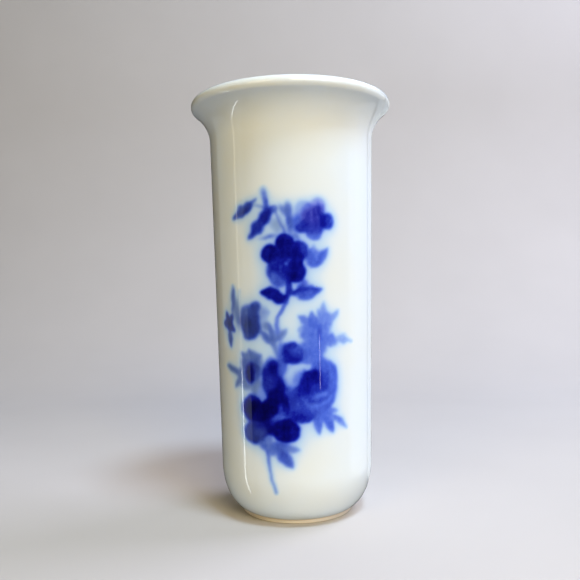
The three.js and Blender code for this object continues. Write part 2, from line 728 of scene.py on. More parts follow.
@dataclass
class Canvas:
    """The unrolled wall as a sheet of square cells with cobalt strengths. Lengths are in millimetres."""

    along: Point
    up: Point
    cell: float
    seed: int

    # How far places stray, each with the width of the noise that moves them
    STRAYS = ((0.16, 1.6), (0.10, 0.6))

    # How many spreads from its middle a bell curve is cut off
    BELL_REACH = 3

    def __post_init__(self) -> None:
        """Lay out an empty sheet, whose cells know the places of their middles along and up the wall."""
        middles = []
        for start, end in (self.along, self.up):
            middles.append(start + (np.arange(round((end - start) / self.cell)) + 0.5) * self.cell)
        self.a, self.z = np.meshgrid(*middles)
        self.random = np.random.default_rng(self.seed)
        self.a = self.strayed(self.a)
        self.z = self.strayed(self.z)
        self.strength = np.zeros_like(self.a)
        self.tint = np.zeros_like(self.a)

    def strayed(self, places: np.ndarray) -> np.ndarray:
        """Let the cells' places stray, which gives every touch an uneven edge.

        Args:
            places: The cells' places along or up the wall.

        Returns:
            The moved places.
        """
        for reach, grain in self.STRAYS:
            places = places + reach * self.cloud(grain)
        return places

    def soften(self, sheet: np.ndarray, width: float, height: float | None = None) -> np.ndarray:
        """Blur a sheet by a bell curve.

        Args:
            sheet: The sheet.
            width: The curve's width in mm.
            height: The curve's width up the wall in mm, where it is another one.

        Returns:
            The blurred sheet.
        """
        for axis, spread in enumerate((height or width, width)):
            reach = max(1, int(self.BELL_REACH * spread / self.cell))
            taps = np.exp(-0.5 * (np.arange(-reach, reach + 1) * self.cell / spread) ** 2)
            taps /= taps.sum()
            margins = [(0, 0), (0, 0)]
            margins[axis] = (reach, reach)
            wide = np.pad(sheet, margins, mode="edge")
            size = sheet.shape[axis]
            sheet = sum(tap * np.take(wide, range(i, i + size), axis=axis) for i, tap in enumerate(taps))
        return sheet

    def cloud(self, grain: float, height: float | None = None) -> np.ndarray:
        """Make smooth noise of unit spread.

        Args:
            grain: The width of its blotches in mm.
            height: Their height in mm, where it is another one.

        Returns:
            The noise over the whole sheet.
        """
        noise = self.soften(self.random.standard_normal(self.a.shape), grain, height)
        return noise / noise.std()

    def near(self, points: tuple[Point, ...], reach: float) -> tuple[slice, slice]:
        """Find the part of the sheet that a touch can change.

        Args:
            points: Points of the touch.
            reach: How far from them it goes, in mm.

        Returns:
            The rows and columns.
        """
        spans = []
        for axis, start in ((1, self.up[0]), (0, self.along[0])):
            places = [point[axis] for point in points]
            first = int((min(places) - reach - start) / self.cell)
            last = int((max(places) + reach - start) / self.cell) + 1
            spans.append(slice(max(first, 0), max(last, 0)))
        return tuple(spans)

    def lay(
        self,
        part: tuple[slice, slice],
        out: np.ndarray,
        tone: float | np.ndarray,
        touch: "Touch",
    ) -> None:
        """Lay one touch over what is there.

        Args:
            part: The rows and columns that it changes.
            out: How far each of their cells is outside the touch, in mm, and below zero inside it.
            tone: Its cobalt strength.
            touch: The touch, for its tint and soft edge. A tint is a violet share, or below zero a share of
                slate, which on the spray's left-hand parts is partly painted reflection.
        """
        cover = ease(0.5 - out / touch.edge)
        self.strength[part] += (tone - self.strength[part]) * cover
        self.tint[part] += (touch.tint - self.tint[part]) * cover

    def read(self, sheet: np.ndarray, a: np.ndarray, z: np.ndarray) -> np.ndarray:
        """Read a sheet between its cells.

        Args:
            sheet: The sheet.
            a: Places along the wall in mm.
            z: Places up the wall in mm.

        Returns:
            The values there, and 0 outside the sheet.
        """
        column = (a - self.along[0]) / self.cell - 0.5
        row = (z - self.up[0]) / self.cell - 0.5
        rows, columns = sheet.shape
        inside = (column >= 0) & (column < columns - 1) & (row >= 0) & (row < rows - 1)
        i = np.clip(column.astype(int), 0, columns - 2)
        j = np.clip(row.astype(int), 0, rows - 2)
        u, v = column - i, row - j
        below = sheet[j, i] * (1 - u) + sheet[j, i + 1] * u
        above = sheet[j + 1, i] * (1 - u) + sheet[j + 1, i + 1] * u
        return np.where(inside, below * (1 - v) + above * v, 0.0)


# How far past its outline a touch's soft edge and wobble can reach, in mm
TOUCH_MARGIN = 1.8


@dataclass(frozen=True)
class Petal:
    """A soft-edged oval touch, in millimetres, with its half widths and its turn in degrees."""

    at: Point
    size: Point
    turn: float = 0.0
    tone: float = 1.0
    tint: float = 0.0
    edge: float = 1.0

    def paint(self, canvas: Canvas) -> None:
        """Lay the petal on a canvas.

        Args:
            canvas: The canvas.
        """
        part = canvas.near((self.at,), max(self.size) + TOUCH_MARGIN)
        x, y = canvas.a[part] - self.at[0], canvas.z[part] - self.at[1]
        c, s = math.cos(math.radians(self.turn)), math.sin(math.radians(self.turn))
        ring = np.hypot((c * x + s * y) / self.size[0], (c * y - s * x) / self.size[1])
        canvas.lay(part, (ring - 1.0) * min(self.size), self.tone, self)


@dataclass(frozen=True)
class Leaf:
    """A pointed touch from its base to its tip, bowed to one side, with a toothed edge."""

    base: Point
    tip: Point
    half: float
    tone: float = 1.0
    bow: float = 0.0
    teeth: float = 0.0
    count: int = 3
    tint: float = 0.0
    edge: float = 0.8

    # Above 1 a leaf is widest past its middle, and below 1 its sides are full
    LEAN = 1.1
    FULLNESS = 0.8

    def paint(self, canvas: Canvas) -> None:
        """Lay the leaf on a canvas.

        Args:
            canvas: The canvas.
        """
        part = canvas.near((self.base, self.tip), self.half + abs(self.bow) + TOUCH_MARGIN)
        length = math.dist(self.base, self.tip)
        along = ((self.tip[0] - self.base[0]) / length, (self.tip[1] - self.base[1]) / length)
        x, y = canvas.a[part] - self.base[0], canvas.z[part] - self.base[1]
        share = (x * along[0] + y * along[1]) / length
        inside = np.clip(share, 0.0, 1.0)
        side = y * along[0] - x * along[1] - self.bow * 4 * inside * (1 - inside)
        width = self.half * np.maximum(np.sin(math.pi * inside**self.LEAN), 0) ** self.FULLNESS
        width = width * (1 + self.teeth * np.cos(FULL_TURN * self.count * inside))
        past = np.maximum(np.maximum(-share, share - 1) * length, 0)
        out = np.maximum(np.abs(side) - width, 0) + past
        canvas.lay(part, np.where(out > 0, out, np.abs(side) - width), self.tone, self)


@dataclass(frozen=True)
class Stem:
    """A stroke through points, whose half width and tone run from a first to a last value."""

    points: tuple[Point, ...]
    half: Point
    tone: Point
    tint: float = 0.0
    edge: float = 0.5

    def paint(self, canvas: Canvas) -> None:
        """Lay the stroke on a canvas.

        Args:
            canvas: The canvas.
        """
        part = canvas.near(self.points, max(self.half) + TOUCH_MARGIN)
        a, z = canvas.a[part], canvas.z[part]
        nearest = np.full(a.shape, np.inf)
        share = np.zeros(a.shape)
        lengths = [math.dist(p, q) for p, q in zip(self.points, self.points[1:])]
        done = 0.0
        for p, q, length in zip(self.points, self.points[1:], lengths):
            step = ((q[0] - p[0]) / length, (q[1] - p[1]) / length)
            t = np.clip((a - p[0]) * step[0] + (z - p[1]) * step[1], 0, length)
            gap = np.hypot(a - p[0] - t * step[0], z - p[1] - t * step[1])
            share = np.where(gap < nearest, (done + t) / sum(lengths), share)
            nearest = np.minimum(nearest, gap)
            done += length
        width = self.half[0] + (self.half[1] - self.half[0]) * share
        tone = self.tone[0] + (self.tone[1] - self.tone[0]) * share
        canvas.lay(part, nearest - width, tone, self)


Touch = Petal | Leaf | Stem
Touches = tuple[Touch, ...]


# The spray's touches, each part of it from the lowest touch to the topmost

# Leaves, buds and fine stems at the upper left
UPPER_LEAVES: Touches = (
    Leaf((-9.9, 94.2), (-18.7, 88.6), 1.4, 0.70, teeth=0.28, edge=1.1),
    Petal((-15.2, 92.1), (1.4, 0.8), -25, 0.62, edge=1.1),
    Petal((-13.3, 91.2), (2.2, 0.9), 32, 0.90, edge=1.2),
    Petal((-17.0, 89.5), (1.2, 0.7), 25, 0.72, edge=1.1),
    Stem(((-10.4, 92.0), (-8.2, 91.4)), (0.4, 0.3), (0.26, 0.4), edge=0.8),
    Petal((-7.7, 95.3), (1.0, 1.9), 10, 0.44, 0.35, edge=1.1),
    Petal((-7.3, 92.8), (0.7, 1.6), 5, 0.58, 0.35, edge=0.8),
    Petal((-6.9, 90.8), (1.4, 1.2), 0, 0.62, 0.3, edge=0.9),
    Leaf((-4.6, 92.0), (-13.1, 82.8), 1.75, 0.76, teeth=0.18, tint=0.3, edge=1.1),
    Petal((-7.9, 88.6), (3.0, 1.1), 48, 0.93, 0.2, edge=1.1),
    Petal((-9.8, 87.4), (0.9, 0.7), 0, 0.74, 0.2, edge=0.8),
    Petal((-11.4, 84.1), (1.7, 0.8), 38, 0.74, 0.7),
    Petal((-5.0, 90.9), (0.9, 1.1), -30, 0.64, 0.1, edge=0.8),
    Petal((-4.6, 86.2), (1.4, 2.1), 20, 0.14, edge=1.2),
    Stem(((-4.9, 91.6), (-4.4, 89.3), (-3.3, 87.2), (-2.2, 84.4)), (0.3, 0.35), (0.40, 0.48), edge=0.4),
    Stem(((-3.4, 89.0), (-2.4, 87.0), (-1.6, 84.6)), (0.25, 0.2), (0.18, 0.2), edge=0.4),
    Petal((-2.6, 90.6), (0.7, 1.7), 30, 0.38, edge=0.9),
    Petal((-1.1, 90.8), (1.1, 2.0), 0, 0.44),
    Petal((-0.7, 87.4), (0.8, 3.2), 4, 0.60, edge=0.9),
    Petal((0.6, 86.6), (0.7, 2.4), 10, 0.48, edge=0.9),
    Petal((1.0, 83.0), (0.8, 1.3), 40, 0.32, edge=0.9),
    Petal((-6.8, 83.2), (2.2, 0.6), 8, 0.42, 0.1, edge=0.9),
)

# The violet-blue blossom at the upper right
UPPER_BLOSSOM: Touches = (
    Petal((2.3, 90.4), (1.6, 2.3), -15, 0.24, edge=1.1),
    Petal((3.6, 91.5), (1.6, 1.3), 10, 0.24, edge=1.1),
    Petal((4.9, 89.8), (2.5, 2.3), 0, 0.50, 0.4, edge=1.3),
    Petal((7.4, 92.0), (2.1, 1.7), -10, 0.32, 0.3, edge=1.1),
    Petal((6.9, 90.4), (2.3, 1.4), 10, 0.64, 0.7, edge=1.2),
    Petal((5.6, 87.8), (3.8, 2.8), 0, 0.66, 0.7, edge=1.2),
    Petal((6.0, 84.3), (2.3, 2.2), 0, 0.66, 0.3),
    Petal((6.2, 82.8), (1.7, 0.9), 0, 0.54, 0.1, edge=0.8),
    Petal((2.7, 85.6), (1.8, 1.7), 0, 0.78, 0.2),
    Petal((1.6, 87.8), (1.1, 1.5), 0, 0.52, 0.1),
    Petal((9.9, 87.3), (2.1, 2.4), 0, 0.76, 0.0, edge=0.9),
    Petal((8.5, 87.2), (1.1, 2.5), 0, 0.90, 0.1),
    Petal((7.4, 89.6), (0.4, 2.2), 0, 0.86, 0.4, edge=0.7),
    Petal((5.9, 88.8), (0.35, 2.0), 0, 0.80, 0.7, edge=0.6),
    Petal((4.4, 87.9), (0.35, 1.6), 4, 0.76, 0.5, edge=0.6),
    Petal((6.6, 86.2), (0.3, 1.6), 0, 0.76, 0.6, edge=0.6),
    Petal((5.1, 85.6), (0.3, 1.2), -4, 0.72, 0.5, edge=0.6),
    Petal((6.7, 88.9), (0.25, 1.5), 0, 0.56, 0.8, edge=0.5),
    Petal((5.1, 88.6), (0.25, 1.2), 0, 0.54, 0.8, edge=0.5),
    Petal((10.6, 87.6), (0.8, 1.3), 0, 0.70),
)

# The deep blue five-petalled blossom
DARK_BLOSSOM: Touches = (
    Petal((-5.3, 72.9), (2.4, 3.6), 6, 0.72, -0.1, edge=1.1),
    Petal((-4.2, 70.9), (2.3, 1.9), 0, 0.58, -0.1),
    Petal((-5.2, 71.6), (1.0, 1.4), 0, 0.56, -0.1),
    Petal((-2.4, 73.6), (1.8, 2.6), 0, 0.80, edge=1.1),
    Petal((-2.2, 75.8), (2.2, 2.2), 0, 0.84, edge=0.8),
    Petal((-2.2, 81.5), (2.5, 2.5), 0, 0.98, edge=0.8),
    Petal((-2.2, 82.8), (1.3, 0.7), 0, 0.88, edge=0.8),
    Petal((1.6, 79.4), (2.5, 2.5), 0, 0.90, 0.2, edge=0.8),
    Petal((2.9, 79.2), (1.1, 2.2), 8, 0.76, edge=0.9),
    Petal((-6.2, 78.5), (2.9, 2.6), -10, 1.04, edge=0.8),
    Petal((-7.2, 79.0), (1.2, 1.0), 0, 0.92, edge=0.9),
    Petal((-2.0, 79.0), (3.4, 1.8), 0, 1.0, 0.1, edge=0.6),
    Petal((0.9, 76.6), (1.9, 2.4), 0, 0.98, edge=0.6),
    Petal((0.8, 73.1), (2.7, 2.9), 10, 0.97, edge=0.8),
    Petal((2.3, 73.4), (0.8, 1.6), 0, 0.88, edge=0.9),
    Petal((-4.2, 75.4), (2.2, 2.3), 0, 0.90, edge=0.9),
    Stem(((-4.4, 80.9), (-4.0, 79.6), (-3.4, 78.4)), (0.18, 0.14), (0.78, 0.86), edge=0.6),
    Stem(((0.0, 81.2), (-0.4, 79.8), (-0.9, 78.4)), (0.16, 0.14), (0.74, 0.86), edge=0.6),
    Stem(((3.2, 77.2), (1.8, 77.0), (0.2, 76.8)), (0.18, 0.14), (0.76, 0.86), edge=0.6),
    Stem(((-1.4, 73.6), (-1.6, 74.8), (-1.8, 75.6)), (0.2, 0.16), (0.66, 0.72), edge=0.6),
    Petal((-3.9, 77.0), (1.1, 0.5), -14, 0.76, edge=0.7),
    Petal((-5.2, 76.0), (0.5, 0.9), 20, 0.78, edge=0.7),
    Petal((-3.4, 74.4), (0.6, 1.1), -16, 0.72, edge=0.7),
    Petal((-1.6, 76.5), (0.8, 0.8), 0, 0.72, edge=0.6),
    Petal((-2.0, 75.7), (0.45, 0.35), 0, 0.24, edge=0.5),
    Petal((-1.2, 77.0), (0.35, 0.3), 0, 0.44, edge=0.5),
    Petal((-2.6, 76.6), (0.4, 0.4), 0, 0.96, edge=0.5),
)

# The pale leaf beside the dark blossom, and the pair of leaves under it
PAIRED_LEAVES: Touches = (
    Petal((5.4, 77.4), (1.9, 2.2), 0, 0.52, 0.05),
    Petal((5.9, 79.4), (0.6, 1.1), 0, 0.36, edge=0.9),
    Leaf((5.0, 74.0), (10.2, 80.2), 1.3, 0.5, bow=-0.3, edge=0.9),
    Petal((6.7, 77.7), (0.5, 1.3), -25, 0.42, edge=0.8),
    Petal((5.6, 75.4), (1.6, 1.1), 0, 0.54, edge=0.9),
    Petal((2.9, 70.0), (1.1, 0.9), 0, 0.5, 0.4),
    Leaf((-0.9, 67.0), (8.3, 68.0), 1.8, 0.66, bow=0.1, teeth=0.1, tint=0.1),
    Petal((3.2, 66.4), (2.1, 1.2), 0, 0.58, 0.05, edge=0.9),
    Petal((2.2, 69.2), (1.2, 0.6), 10, 0.62, edge=0.8),
    Stem(((-0.5, 67.4), (3.2, 68.3), (6.9, 68.2)), (0.4, 0.35), (0.84, 0.84), edge=0.8),
    Leaf((-2.2, 66.4), (-9.9, 67.7), 1.7, 0.97, bow=-0.1, teeth=0.05),
    Petal((-4.5, 66.0), (2.2, 1.5), -12, 0.96, edge=0.8),
)

# Where the stem bends over to the fork
STEM_BEND = ((-2.3, 65.0), (-3.4, 62.6), (-4.9, 60.2), (-5.1, 58.2), (-4.9, 56.4))

# The stem from the dark blossom down to the fork
MAIN_STEM: Touches = (
    Stem(((-1.3, 71.5), (-1.2, 68.0), (-2.3, 65.0)), (0.8, 0.75), (0.88, 0.8), edge=0.4),
    Stem(STEM_BEND, (0.55, 0.6), (0.6, 0.46), tint=0.2, edge=0.4),
)

# The bud, the thin leaves and the soft fork on the left
LEFT_LEAVES: Touches = (
    Petal((-19.0, 64.0), (1.3, 2.6), 0, 0.26, edge=1.6),
    Leaf((-20.2, 61.8), (-19.7, 69.8), 0.85, 0.54, edge=1.3),
    Petal((-17.8, 60.8), (1.1, 3.2), 6, 0.36, edge=1.6),
    Stem(((-17.0, 68.4), (-17.2, 64.0), (-17.8, 60.0)), (0.15, 0.3), (0.22, 0.34), edge=1.0),
    Leaf((-21.2, 58.8), (-25.4, 58.6), 1.1, 0.92, tint=0.2, edge=1.1),
    Leaf((-21.8, 58.0), (-23.8, 62.4), 1.0, 0.86, tint=0.2, edge=1.1),
    Leaf((-21.8, 58.6), (-19.8, 61.6), 0.9, 0.80, tint=0.1, edge=1.1),
    Leaf((-22.2, 58.6), (-19.4, 56.2), 1.0, 0.84, tint=0.1, edge=1.1),
    Petal((-22.0, 58.4), (1.7, 2.0), 0, 1.02, 0.3, edge=1.2),
    Leaf((-22.4, 57.6), (-21.6, 51.5), 1.0, 0.72, edge=1.1),
    Petal((-13.3, 59.3), (3.5, 4.6), 0, 0.70, edge=1.6),
    Petal((-14.9, 62.6), (1.6, 1.3), 15, 0.62, edge=1.4),
    Petal((-11.5, 63.4), (1.7, 1.6), -10, 0.74, edge=1.3),
    Petal((-13.2, 57.6), (2.5, 2.9), 0, 0.92, edge=1.5),
    Petal((-11.6, 59.6), (1.0, 2.4), 0, 0.80, edge=1.2),
    Petal((-14.3, 55.4), (1.5, 1.1), 0, 0.80, edge=1.3),
    Stem(((-14.9, 62.0), (-13.6, 61.4), (-12.4, 60.6)), (0.3, 0.25), (0.58, 0.62), edge=0.9),
    Petal((-8.9, 61.8), (1.5, 2.0), 0, 0.22, 0.2, edge=1.6),
    Petal((-8.2, 62.1), (1.2, 0.6), 0, 0.30, 0.3, edge=0.9),
    Petal((-8.3, 58.2), (1.1, 1.5), 0, 0.28, edge=1.2),
    Leaf((-10.6, 57.2), (-5.4, 52.4), 0.95, 0.5, bow=-0.2, edge=0.9),
    Leaf((-7.9, 59.4), (-6.0, 53.4), 0.8, 0.5, bow=0.2, edge=0.9),
    Leaf((-6.3, 53.3), (-1.9, 56.9), 1.0, 0.34, edge=0.9),
    Petal((-4.9, 56.4), (0.9, 1.8), 0, 0.40),
    Petal((-6.3, 53.6), (0.9, 1.5), 0, 0.5),
    Stem(((-6.0, 52.8), (-5.4, 50.8), (-4.7, 48.6)), (0.6, 0.7), (0.36, 0.4), edge=0.9),
)

# The pale spray of pointed leaves on the right
SPIKY_SPRAY: Touches = (
    Petal((6.2, 57.0), (4.4, 3.3), 0, 0.40, edge=1.6),
    Petal((6.2, 52.6), (3.6, 3.4), 0, 0.42, edge=1.6),
    Leaf((6.2, 57.4), (0.9, 61.4), 1.0, 0.42, teeth=0.15),
    Petal((2.6, 60.6), (1.4, 0.7), -10, 0.46, edge=0.8),
    Leaf((5.6, 56.5), (5.0, 62.4), 1.3, 0.50, teeth=0.1),
    Leaf((8.2, 57.0), (8.9, 65.0), 1.1, 0.34, bow=-0.2, edge=0.9),
    Leaf((7.6, 58.0), (7.2, 63.0), 0.6, 0.40),
    Petal((9.7, 59.6), (1.6, 2.2), 0, 0.40, edge=1.1),
    Leaf((9.5, 58.4), (13.4, 62.4), 0.75, 0.36),
    Petal((3.2, 57.5), (1.8, 0.8), 15, 0.42),
    Petal((3.4, 55.4), (1.7, 1.3), 0, 0.46),
    Petal((1.7, 56.9), (0.8, 0.6), 30, 0.30, edge=0.8),
    Petal((3.2, 52.6), (1.2, 1.0), 20, 0.44, edge=0.9),
    Leaf((7.4, 54.6), (13.0, 53.7), 1.8, 0.46, teeth=0.14, edge=1.0),
    Leaf((11.4, 53.8), (18.6, 52.9), 0.8, 0.30, bow=0.35, teeth=0.3, count=2),
    Petal((14.0, 54.8), (1.5, 0.6), 10, 0.28, edge=0.9),
    Petal((7.3, 56.0), (0.8, 2.0), 0, 0.60, 0.1),
    Petal((6.4, 57.6), (1.2, 0.8), -20, 0.56),
    Petal((4.6, 58.8), (0.8, 1.2), 0, 0.54),
    Petal((8.9, 57.6), (0.5, 1.4), -14, 0.52, edge=0.8),
    Petal((5.2, 55.6), (0.4, 1.4), 8, 0.50, edge=0.7),
    Petal((10.6, 53.0), (2.1, 0.8), 5, 0.44, edge=1.1),
    Stem(((5.6, 60.4), (6.2, 57.8), (6.6, 54.6)), (0.14, 0.16), (0.36, 0.40)),
    Stem(((9.2, 60.6), (8.6, 58.0), (8.2, 55.4)), (0.14, 0.16), (0.30, 0.38)),
)

# Along the rose's turned-over edge
ROSE_TURNED_EDGE = ((-2.3, 43.0), (-2.1, 44.4), (-1.2, 45.8), (0.3, 46.6), (2.0, 46.8), (3.6, 46.3))

# Along the rose's upper rim
ROSE_RIM = ((-4.1, 42.4), (-4.2, 44.8), (-3.4, 47.0), (-1.6, 48.4), (1.0, 48.9), (3.4, 48.3), (5.2, 47.0))

# The large rose, with its white turned-over petal and dark heart
ROSE: Touches = (
    Petal((4.7, 40.6), (8.0, 8.2), 0, 0.55, edge=1.5),
    Petal((8.6, 43.2), (4.3, 5.0), -8, 0.54, edge=1.2),
    Petal((5.8, 48.2), (3.6, 1.8), -6, 0.50, edge=1.4),
    Petal((11.3, 45.4), (1.1, 1.7), 28, 0.62),
    Petal((8.8, 42.9), (1.1, 2.8), -4, 0.64, edge=1.2),
    Petal((8.2, 46.4), (2.2, 1.2), -22, 0.54, edge=1.2),
    Stem(((9.9, 46.8), (10.5, 44.6), (10.4, 42.2), (9.9, 40.4)), (0.35, 0.3), (0.42, 0.50), edge=0.9),
    Petal((6.2, 40.5), (3.0, 1.7), 14, 0.72),
    Petal((8.6, 36.4), (3.0, 2.0), 34, 0.56, edge=1.3),
    Petal((1.8, 33.8), (4.4, 2.9), -6, 0.62),
    Petal((0.2, 32.4), (2.5, 1.4), -14, 0.80, edge=1.1),
    Petal((2.6, 31.9), (2.2, 0.8), 8, 0.78, edge=0.8),
    Petal((-0.6, 38.2), (3.2, 4.0), 16, 0.61, -0.15, edge=0.9),
    Petal((-1.5, 39.8), (1.6, 2.2), 14, 0.57),
    Petal((1.8, 39.2), (2.2, 2.2), -10, 0.82, edge=1.2),
    Petal((4.4, 37.2), (3.4, 1.6), 8, 0.66),
    Stem(((9.3, 38.6), (7.6, 38.6), (6.2, 38.0), (5.0, 37.0)), (0.6, 0.3), (0.32, 0.46), edge=0.8),
    Stem(((4.2, 36.3), (6.2, 36.8), (8.4, 37.3), (10.2, 38.8)), (0.3, 0.2), (0.70, 0.62), edge=0.6),
    Stem(((10.8, 37.8), (9.0, 36.3), (6.6, 35.4), (4.2, 35.0)), (0.4, 0.35), (0.42, 0.44), edge=0.7),
    Stem(((1.9, 37.6), (2.8, 36.0), (4.2, 35.0)), (0.3, 0.35), (0.46, 0.44), edge=0.7),
    Petal((4.8, 33.6), (2.0, 0.9), 6, 0.62, edge=0.9),
    Petal((-3.5, 46.4), (0.9, 2.2), -14, 0.62, edge=0.9),
    Petal((-1.4, 42.0), (1.9, 1.0), -28, 0.52, edge=1.2),
    Petal((-0.7, 44.0), (2.9, 3.2), -20, 0.22, edge=0.9),
    Stem(ROSE_TURNED_EDGE, (1.3, 0.8), (0.13, 0.06), edge=0.7),
    Stem(ROSE_TURNED_EDGE[1:5], (0.5, 0.3), (0.03, 0.0), edge=0.9),
    Stem(ROSE_RIM, (0.55, 0.4), (0.66, 0.5), edge=0.7),
    Petal((0.9, 42.9), (1.4, 1.9), 0, 0.36),
    Petal((-2.9, 42.6), (0.6, 1.1), 12, 0.26, edge=0.9),
    Petal((4.5, 43.4), (2.7, 2.0), 0, 0.92, 0.2, edge=0.7),
    Petal((4.5, 44.7), (2.7, 0.6), 1, 0.98, 0.1, edge=0.5),
    Petal((3.0, 41.0), (1.4, 2.6), 18, 0.93, 0.1, edge=0.9),
    Petal((5.6, 43.4), (1.5, 1.4), 0, 1.0, 0.1, edge=0.8),
    Petal((1.7, 40.4), (0.7, 1.4), 12, 0.84, edge=0.8),
    Stem(((4.0, 44.0), (4.5, 42.8), (4.3, 41.6), (4.7, 40.4)), (0.16, 0.16), (0.78, 0.76), 0.5),
    Stem(((2.6, 43.8), (3.0, 42.4), (2.7, 41.0)), (0.12, 0.12), (0.80, 0.80), 0.3),
    Stem(((6.9, 44.8), (7.1, 43.2), (6.7, 41.8)), (0.14, 0.14), (0.74, 0.72), 0.4),
    Petal((7.5, 42.4), (0.4, 1.7), -6, 0.80, edge=0.7),
)

# The round bud on top of the rose
ROUND_BUD: Touches = (
    Petal((4.7, 50.8), (3.4, 3.6), 0, 0.46, edge=1.5),
    Petal((-3.9, 49.2), (0.9, 4.4), 4, 0.50),
    Petal((-0.8, 50.4), (3.0, 3.1), -8, 0.72, edge=0.9),
    Petal((-1.0, 48.6), (2.6, 1.0), 6, 0.84, edge=0.8),
    Petal((-2.5, 50.6), (1.0, 2.2), 8, 0.86),
    Petal((0.3, 50.6), (1.8, 1.5), 0, 0.64, edge=1.2),
    Petal((-1.0, 52.4), (1.6, 0.6), 8, 0.84, edge=0.7),
    Stem(((-0.8, 51.0), (-0.6, 50.0), (-0.9, 49.2)), (0.12, 0.12), (0.68, 0.70)),
)

# The pointed leaves under the rose on the right
LOWER_SPIKES: Touches = (
    Petal((8.0, 33.4), (2.8, 2.6), 0, 0.50, edge=1.2),
    Leaf((6.1, 34.6), (6.8, 27.0), 1.35, 0.50),
    Leaf((7.6, 33.6), (11.4, 26.8), 1.3, 0.50, bow=0.4),
    Leaf((8.6, 32.8), (16.4, 28.0), 0.85, 0.42, bow=0.6),
    Leaf((8.8, 34.0), (13.2, 33.3), 0.7, 0.42),
    Petal((12.8, 31.3), (1.7, 0.4), -25, 0.52, edge=0.7),
    Petal((10.6, 29.4), (0.5, 1.4), 25, 0.58, edge=0.8),
    Petal((6.6, 29.6), (0.5, 1.5), 4, 0.56, edge=0.8),
    Stem(((8.0, 33.8), (9.6, 31.6), (10.4, 30.0)), (0.14, 0.12), (0.40, 0.42)),
    Stem(((6.4, 34.0), (6.3, 31.6)), (0.14, 0.12), (0.42, 0.44)),
)

# The small grey-blue blossom at the left, with its thin leaves; its grey is partly the print's own and partly
# painted reflection
SMALL_BLOSSOM: Touches = (
    Petal((-13.6, 47.4), (3.5, 3.2), 0, 0.50, edge=1.8),
    Petal((-13.0, 49.6), (2.4, 1.3), 0, 0.38, edge=1.3),
    Leaf((-14.6, 48.4), (-17.0, 50.8), 0.8, 0.44, edge=0.9),
    Leaf((-13.6, 49.0), (-14.0, 52.0), 0.8, 0.42, edge=0.9),
    Leaf((-12.0, 48.6), (-9.8, 50.2), 0.7, 0.42, edge=0.9),
    Petal((-17.0, 43.4), (1.9, 2.6), 15, 0.42, edge=1.5),
    Leaf((-16.6, 44.0), (-24.4, 46.2), 0.9, 0.46, edge=1.2),
    Leaf((-16.8, 43.6), (-20.4, 40.2), 0.9, 0.42, edge=1.2),
    Petal((-15.6, 41.2), (1.8, 1.8), 0, 0.32, edge=1.5),
    Petal((-11.6, 40.6), (2.6, 2.6), 0, 0.22, edge=1.6),
    Petal((-10.2, 46.8), (0.7, 1.8), 0, 0.20),
    Petal((-11.8, 45.0), (1.6, 2.0), 0, 0.60, edge=1.2),
    Petal((-13.7, 44.6), (1.9, 3.0), 0, 1.14, 0.4, edge=1.1),
    Petal((-11.7, 46.3), (1.4, 0.8), -20, 0.80, edge=0.9),
    Petal((-11.7, 43.9), (0.6, 1.1), 0, 0.52, edge=0.9),
)

# The darkest petals, left of the rose and under it
DARK_PETALS: Touches = (
    Petal((-7.1, 43.3), (2.8, 5.5), 0, 0.88, -0.1, edge=1.4),
    Petal((-6.4, 46.4), (1.7, 1.9), 0, 0.96, edge=1.2),
    Petal((-7.1, 41.3), (1.9, 2.8), 0, 0.77, -0.15, edge=1.4),
    Petal((-4.4, 45.6), (0.6, 3.4), 0, 0.56, edge=0.9),
    Petal((-4.4, 40.8), (1.4, 3.0), 0, 0.96),
    Petal((-13.2, 34.3), (3.9, 3.9), 0, 1.04, edge=1.7),
    Petal((-10.0, 33.8), (5.0, 3.8), 0, 1.14, edge=1.4),
    Petal((-5.6, 37.2), (2.8, 3.4), 0, 1.12),
    Petal((-3.2, 35.8), (1.7, 3.4), 12, 1.0, edge=0.9),
    Leaf((-10.2, 41.2), (-9.9, 36.2), 1.2, 0.22, edge=1.0),
    Petal((-13.2, 37.2), (1.6, 0.6), 0, 0.86, edge=0.9),
    Petal((-9.2, 29.0), (2.8, 2.3), 0, 0.97, edge=1.2),
    # The lower-left petal is laid in slate: partly its own grey, partly painted reflection of the glaze's
    # sheen
    Petal((-13.0, 27.6), (3.8, 3.2), 0, 0.80, -0.4, edge=1.5),
    Petal((-12.6, 25.8), (2.8, 0.9), 0, 0.84, -0.4),
    Petal((-11.7, 27.9), (1.9, 1.1), 0, 0.74, -0.4),
    Petal((-3.3, 28.6), (4.3, 3.5), -4, 1.04, edge=0.9),
    Petal((-0.6, 28.6), (0.9, 1.8), 0, 0.92),
    Leaf((-8.0, 31.2), (-2.6, 33.8), 0.75, 0.52, tint=-0.2, edge=0.9),
    Petal((-4.8, 32.7), (1.1, 0.6), 15, 0.44, edge=0.8),
    Leaf((-4.6, 32.4), (-3.9, 36.0), 0.75, 0.64, edge=0.9),
    Petal((-11.4, 29.4), (1.6, 0.5), 0, 0.86, edge=0.9),
)

# Along the stem's lower end
STEM_END = ((-9.0, 22.6), (-8.3, 19.8), (-8.0, 16.6), (-7.4, 13.6), (-6.6, 10.6))

# The soft leaves under the spray and the end of the stem
TAIL: Touches = (
    Petal((-9.6, 24.2), (2.2, 1.5), -25, 0.50, edge=1.3),
    Petal((-8.3, 25.8), (0.9, 1.4), 0, 0.34),
    Petal((-5.2, 23.7), (3.4, 1.7), 0, 0.50, edge=1.3),
    Leaf((-7.2, 24.2), (-1.2, 18.0), 1.9, 0.54, bow=0.2, edge=1.2),
    Petal((-3.9, 20.9), (1.5, 1.3), -30, 0.62, 0.1, edge=1.2),
    Leaf((-4.5, 23.6), (1.2, 22.9), 1.0, 0.40, edge=1.1),
    Petal((-7.6, 22.4), (1.5, 1.0), -20, 0.44, edge=1.2),
    Stem(STEM_END, (0.5, 0.4), (0.52, 0.42), tint=0.15, edge=0.7),
)
